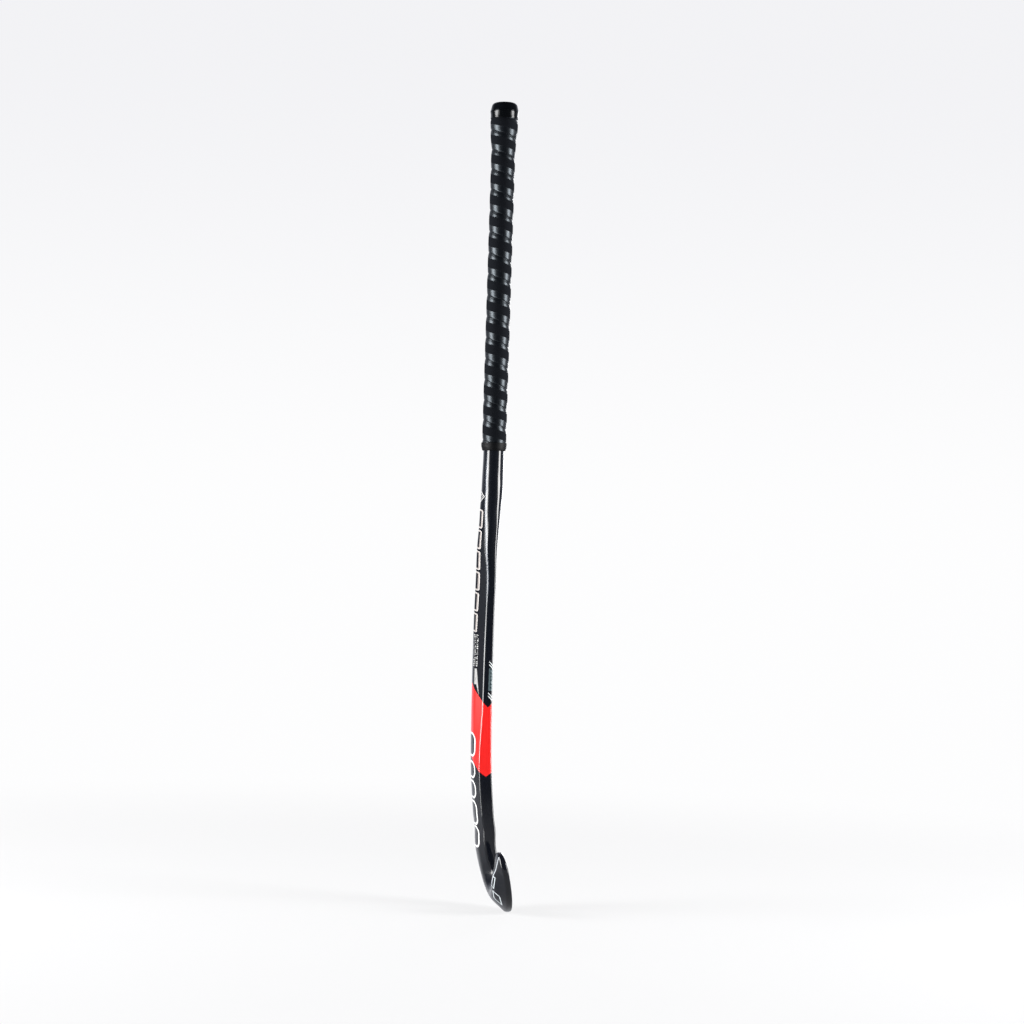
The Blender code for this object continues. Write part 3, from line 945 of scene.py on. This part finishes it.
def print_toe_marks(tree, colour, along, across, crease):
    """An outlined slanted block, an outlined narrower one above it and a painted highlight: a thin
    pale line up the toe.
    """
    block_y = along - TOE_BLOCK_AT[1]
    block_x = across - TOE_BLOCK_AT[0] - block_y * 0.30
    block = rounded_block(block_x, block_y, *TOE_BLOCK)
    narrow_y = along - NARROW_BLOCK_AT[1]
    narrow_x = across - NARROW_BLOCK_AT[0] + narrow_y * 0.10
    narrow = rounded_block(narrow_x, narrow_y, *NARROW_BLOCK)
    marks = block.within(-0.0013, 0.0) + narrow.within(-0.0010, 0.0)
    marks = marks * along.below(-0.012, 0.0002) * crease.above(0.0006)
    colour = mixed(tree, marks.calc("MINIMUM", 1.0), colour, TOE_PALE)
    # Painted highlight: a thin pale line up the toe's back, where its edge would catch the light
    line = (across + (along - TOE_HIGHLIGHT_FOOT) * TOE_HIGHLIGHT_SLOPE).within(-0.0006, 0.0011)
    line = line * along.within(*TOE_HIGHLIGHT_LENGTH, 0.0010) * crease.above(0.0)
    return mixed(tree, line, colour, TOE_PAINTED_HIGHLIGHT)


def lacquer():
    """Clear lacquer over black laminate, a red band and pale outlined shapes."""
    material, tree = new_material("lacquered_laminate")
    along, across = mesh_mark(tree, "along"), mesh_mark(tree, "across")
    girth, crease = abs(mesh_mark(tree, "girth")), mesh_mark(tree, "crease")
    wide = abs(across)
    cloud = noise_value(tree, 38.0, 3.0)
    silver = noise_value(tree, 900.0, 2.0)

    black = black_laminate(tree, along, across, cloud)
    dots_and_sheen, dulled = halftone_and_sheen(along, across, crease)
    # Grey dot pattern: print, and a painted soft edge of the highlight beside the crease
    colour = mixed(tree, dots_and_sheen * 0.55, black, DOT_AND_SHEEN_GREY)
    red_on = (along - girth * RED_FOOT_SLOPE).above(RED_FOOT)
    red_on = red_on * (along - girth * RED_HEAD_SLOPE).below(RED_HEAD)
    colour = mixed(tree, red_on, colour, RED)
    colour = print_low_blocks(tree, colour, black, along, wide, crease)
    colour = print_high_column(tree, colour, along, wide, silver)
    colour = print_small_marks(tree, colour, along, wide, silver)
    colour = print_side_marks(tree, colour, black, along)
    colour = print_toe_marks(tree, colour, along, across, crease)

    # Fine wear in the lacquer: rubbed haze on the head and hairline scratches
    rubbed = noise_value(tree, 120.0, 4.0).above(0.55, 0.14) * along.below(0.09, 0.06)
    hair = noise_value(tree, 300.0, 2.0, stretch=(1.0, 1.0, 0.06)).above(0.70, 0.05)
    wave = noise_value(tree, 75.0, 1.0)
    return principled(
        material,
        Base_Color=colour,
        Roughness=ramp(cloud, 0.38, 0.50),
        Specular_IOR_Level=ramp(red_on, 0.04, 0.30),
        Coat_Weight=(dulled * -0.88 + 1.0) + dulled * dots_and_sheen * 0.25,
        Coat_Roughness=rubbed * 0.10 + hair * 0.06 + 0.035,
        Coat_IOR=1.5,
        Coat_Normal=bumped(tree, wave, 0.05, 0.0004),
    )


def grip_cushion():
    """Cushioned polyurethane: smooth sloping edges and a fine-grained matte lane."""
    material, tree = new_material("grip_polyurethane")
    lane = mesh_mark(tree, "lane")
    matte = lane.within(*MATTE_LANE, 0.006)
    grain = noise_value(tree, 2600.0, 2.0)
    cloud = noise_value(tree, 110.0, 3.0)
    tone = grain * 0.55 + cloud * 0.45
    smooth = mixed(tree, cloud, (0.0017, 0.0021, 0.0032), (0.0036, 0.0044, 0.0066))
    rough = mixed(tree, tone, (0.0023, 0.0027, 0.0038), (0.0064, 0.0074, 0.0102))
    roughness = ramp(matte, 0.34, 0.85) + (cloud - 0.5) * 0.10
    height = grain * ramp(matte, 0.12, 1.0)
    return principled(
        material,
        Base_Color=mixed(tree, matte, smooth, rough),
        Roughness=roughness,
        Specular_IOR_Level=ramp(matte, 0.38, 0.06),
        Specular_Tint=mixed(tree, matte, (0.80, 0.91, 1.0), (0.90, 0.95, 1.0)),
        Normal=bumped(tree, height, 0.35, 0.00008),
    )


def tape_vinyl(name, low_rough, high_rough, shade, shine):
    """Stretched finishing tape with fine drawn lines round the handle."""
    material, tree = new_material(name)
    lines = noise_value(tree, 55.0, 3.0, stretch=(1.0, 1.0, 22.0))
    spots = noise_value(tree, 700.0, 2.0)
    tone = lines * 0.6 + spots * 0.4
    dark = tuple(part * 0.45 for part in shade)
    return principled(
        material,
        Base_Color=mixed(tree, tone, dark, shade),
        Roughness=ramp(tone, low_rough, high_rough),
        Specular_IOR_Level=shine,
        Normal=bumped(tree, lines, 0.25, 0.0002),
    )


def cap_gloss():
    """Polished black cap with faint scuffs on its top edge."""
    material, tree = new_material("cap_polished")
    cloud = noise_value(tree, 90.0, 1.0)
    scuff = noise_value(tree, 420.0, 3.0, stretch=(1.0, 0.3, 1.0)).above(0.62, 0.08)
    worn = scuff * mesh_mark(tree, "level").above(CAP_TOP - 0.004, 0.002)
    return principled(
        material,
        Base_Color=mixed(tree, cloud, (0.0012, 0.0015, 0.0022), (0.0035, 0.0043, 0.0058)),
        Roughness=ramp(worn, 0.06, 0.26),
        Specular_IOR_Level=0.14,
        Specular_Tint=(0.84, 0.93, 1.0, 1.0),
        Normal=bumped(tree, cloud, 0.03, 0.0003),
    )


def inner_material(name, dark, light, scale, roughness, depth):
    """A grainy material for a piece inside the stick."""
    material, tree = new_material(name)
    cells = tree.nodes.new("ShaderNodeTexVoronoi")
    cells.inputs["Scale"].default_value = scale
    tree.links.new(object_point(tree), cells.inputs["Vector"])
    fine = Value(tree, cells.outputs["Distance"])
    broad = noise_value(tree, scale / 12, 3.0)
    tone = fine * 0.6 + broad * 0.4
    return principled(
        material,
        Base_Color=mixed(tree, tone, dark, light),
        Roughness=ramp(broad, roughness - 0.08, roughness + 0.08),
        Normal=bumped(tree, fine, 0.5, depth),
    )


def dress_inner_pieces():
    """Foam, plastic and rubber for the CAD pieces that stay as they are."""
    looks = {
        "head_core": ((0.48, 0.38, 0.20), (0.78, 0.66, 0.42), 900.0, 0.85, 0.0003),
        "shaft_core": ((0.62, 0.60, 0.52), (0.86, 0.84, 0.77), 700.0, 0.88, 0.0004),
        "butt_plug": ((0.05, 0.05, 0.055), (0.11, 0.11, 0.12), 1500.0, 0.50, 0.0001),
        "flare_collar": ((0.015, 0.015, 0.015), (0.04, 0.04, 0.04), 1800.0, 0.78, 0.0001),
    }
    for item in list(bpy.context.scene.objects):
        for node, look in looks.items():
            if item.type == "MESH" and item.name.split(".")[0] == node:
                item.data.materials.clear()
                item.data.materials.append(inner_material(node + "_look", *look))


def area_light(name, centre, target, wide, tall, radiance, lean):
    """A rectangular soft light of a given radiance that looks at a target, turned by its lean."""
    data = bpy.data.lights.new(name, "AREA")
    data.shape = "RECTANGLE"
    data.size, data.size_y = wide, tall
    data.energy = radiance * pi * wide * tall
    lamp = bpy.data.objects.new(name, data)
    look = (Vector(target) - Vector(centre)).to_track_quat("-Z", "Y").to_matrix().to_4x4()
    lamp.matrix_world = Matrix.Translation(centre) @ look @ Matrix.Rotation(radians(lean), 4, "Z")
    bpy.context.scene.collection.objects.link(lamp)
    lamp.visible_camera = False


# The camera looks level at the stick's side, 10 degrees towards its back, from 3 m
VIEW_AZIMUTH = -10.0
VIEW_DISTANCE = 3.0
VIEW_HEIGHT = 0.4553
VIEW_LENS = 91.48
VIEW_ROLL = 0.032
VIEW_SHIFT = 0.0147

FLOOR_HALF = 2.6  # half the floor's side
# How clear the floor is, to lights and reflections and to the camera: the backdrop shows through it
FLOOR_CLEAR = (0.45, 0.78)


def build_floor():
    """A pale floor that fades into the white background."""
    data = bpy.data.meshes.new("studio_floor")
    half = FLOOR_HALF
    corners = [(-half, -half, 0.0), (half, -half, 0.0), (half, half, 0.0), (-half, half, 0.0)]
    data.from_pydata(corners, [], [(0, 1, 2, 3)])
    floor = bpy.data.objects.new("studio_floor", data)
    bpy.context.scene.collection.objects.link(floor)
    material, tree = new_material("pale_floor")
    spot = tree.nodes.new("ShaderNodeSeparateXYZ")
    tree.links.new(object_point(tree), spot.inputs[0])
    x, y = Value(tree, spot.outputs["X"]), Value(tree, spot.outputs["Y"])
    reach = (x * x + y * y).calc("SQRT")
    fine = noise_value(tree, 6.0, 2.0)
    principled(
        material,
        Base_Color=mixed(tree, fine, (0.65, 0.65, 0.655), (0.68, 0.68, 0.685)),
        Roughness=0.9,
        Specular_IOR_Level=0.0,
    )
    clear = tree.nodes.new("ShaderNodeBsdfTransparent")
    blend = tree.nodes.new("ShaderNodeMixShader")
    seen = Value(tree, tree.nodes.new("ShaderNodeLightPath").outputs["Is Camera Ray"])
    clear_share = ramp(seen, *FLOOR_CLEAR)
    far = reach.above(0.95, 0.50)
    feed(tree, clear_share + (clear_share * -1.0 + 1.0) * far, blend.inputs[0])
    tree.links.new(tree.nodes["Principled BSDF"].outputs[0], blend.inputs[1])
    tree.links.new(clear.outputs[0], blend.inputs[2])
    tree.links.new(blend.outputs[0], tree.nodes["Material Output"].inputs["Surface"])
    data.materials.append(material)


# The backdrop that the camera sees, at floor level and higher up, and the room's light: its
# strength in front of the stick and behind it
WALL_LOW, WALL_HIGH = (0.985, 0.985, 0.990), (0.893, 0.893, 0.915)
ROOM_STRENGTHS = (0.06, 0.60)
ROOM_COLOUR = (0.90, 0.94, 1.04, 1.0)


def build_world():
    """Near white to the camera; to the object, bright behind it and a dim room in front of it."""
    world = bpy.data.worlds.new("studio")
    world.use_nodes = True
    tree = world.node_tree
    tree.nodes.clear()
    out = tree.nodes.new("ShaderNodeOutputWorld")
    seen = tree.nodes.new("ShaderNodeBackground")
    felt = tree.nodes.new("ShaderNodeBackground")
    spot = tree.nodes.new("ShaderNodeSeparateXYZ")
    tree.links.new(tree.nodes.new("ShaderNodeTexCoord").outputs["Generated"], spot.inputs[0])
    x, y, z = (Value(tree, spot.outputs[axis]) for axis in "XYZ")
    feed(tree, mixed(tree, z.above(0.085, 0.095), WALL_LOW, WALL_HIGH), seen.inputs["Color"])
    azimuth = radians(VIEW_AZIMUTH)
    beyond = y * cos(azimuth) - x * sin(azimuth)
    feed(tree, ramp(beyond.above(0.62, 0.25), *ROOM_STRENGTHS), felt.inputs["Strength"])
    felt.inputs["Color"].default_value = ROOM_COLOUR
    path = tree.nodes.new("ShaderNodeLightPath")
    blend = tree.nodes.new("ShaderNodeMixShader")
    tree.links.new(path.outputs["Is Camera Ray"], blend.inputs[0])
    tree.links.new(felt.outputs[0], blend.inputs[1])
    tree.links.new(seen.outputs[0], blend.inputs[2])
    tree.links.new(blend.outputs[0], out.inputs[0])
    bpy.context.scene.world = world


def build_camera():
    """A level camera, rolled because the stick leans in its view."""
    data = bpy.data.cameras.new("camera")
    data.lens = VIEW_LENS
    data.shift_x = VIEW_SHIFT
    camera = bpy.data.objects.new("camera", data)
    bpy.context.scene.collection.objects.link(camera)
    azimuth = radians(VIEW_AZIMUTH)
    back = Vector((sin(azimuth), -cos(azimuth), 0.0))
    target = Vector((0.0, AXIS_Y, VIEW_HEIGHT))
    turn = (-back).to_track_quat("-Z", "Y").to_matrix().to_4x4()
    camera.matrix_world = (
        Matrix.Translation(target + back * VIEW_DISTANCE)
        @ turn
        @ Matrix.Rotation(VIEW_ROLL, 4, "Z")
    )
    bpy.context.scene.camera = camera


def light_at(bearing, distance, height):
    """A place at a bearing from the line to the camera, positive to the camera's right."""
    angle = radians(270 + VIEW_AZIMUTH + bearing)
    return (AXIS_X + distance * cos(angle), AXIS_Y + distance * sin(angle), height)


# Name, bearing, distance, height, the height it looks at, its own width and height, radiance, lean
LIGHTS = [
    ("left_strip", -75, 1.7, 0.52, 0.50, 0.70, 1.84, 17.0, 12.0),
    ("right_strip", 77, 1.7, 0.52, 0.50, 0.70, 1.84, 17.0, 0.0),
    ("left_wing", -77, 1.8, 1.02, 1.02, 1.40, 0.80, 3.5, 0.0),
    ("right_wing", 77, 1.8, 1.02, 1.02, 1.40, 0.80, 3.5, 0.0),
    ("rear_strip", 165, 2.2, 0.60, 0.50, 0.60, 1.40, 6.0, 0.0),
]


def build_lights():
    """Two tall strips for the long highlights, dim wings beside the grip and a strip behind."""
    for name, bearing, distance, height, look_height, *shape in LIGHTS:
        area_light(name, light_at(bearing, distance, height), (AXIS_X, AXIS_Y, look_height), *shape)


def main():
    """Builds the pieces and the studio."""
    build_shell(lacquer())
    build_grip(grip_cushion())
    build_cap(cap_gloss())
    build_upper_band(tape_vinyl("band_gloss_vinyl", 0.10, 0.18, (0.0028, 0.0034, 0.0044), 0.26))
    build_lower_seal(tape_vinyl("seal_matte_vinyl", 0.46, 0.60, (0.0022, 0.0026, 0.0036), 0.12))
    dress_inner_pieces()
    build_floor()
    build_world()
    build_lights()
    build_camera()
    bpy.context.scene.view_settings.view_transform = "Standard"


main()
